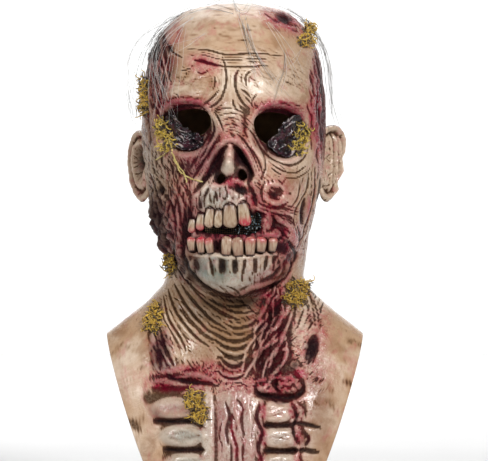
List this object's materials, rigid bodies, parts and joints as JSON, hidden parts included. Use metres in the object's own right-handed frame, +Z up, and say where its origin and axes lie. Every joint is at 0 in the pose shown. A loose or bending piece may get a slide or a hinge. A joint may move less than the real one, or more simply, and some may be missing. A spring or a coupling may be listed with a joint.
{
  "type": "zombie mask",
  "caption": "Hollow full-head latex mask of a rotting face with ears, bared teeth, open eye and nose holes, neck and a long chest bib, set with tufts of moss.",
  "frame": {"origin": "inside of the crown, where the mask sits on the wearer's head", "axes": "+Z up along the head and neck, -Y out of the face, +X towards the wearer's left ear"},
  "size_m": [0.2354, 0.2141, 0.48],
  "materials": {
    "latex": "painted flesh, satin",
    "film": "glossy crinkled film",
    "moss": "matt fibres",
    "net": "fine black net"
  },
  "bodies": {
    "root": {"mask_shell": "latex", "film_right": "film", "film_left": "film", "moss_scalp": "moss", "moss_temple": "moss", "moss_eye_right": "moss", "moss_eye_left": "moss", "moss_jaw": "moss", "moss_neck_left": "moss", "moss_neck_right": "moss", "moss_chest": "moss", "mouth_net": "net"}
  },
  "joints": []
}
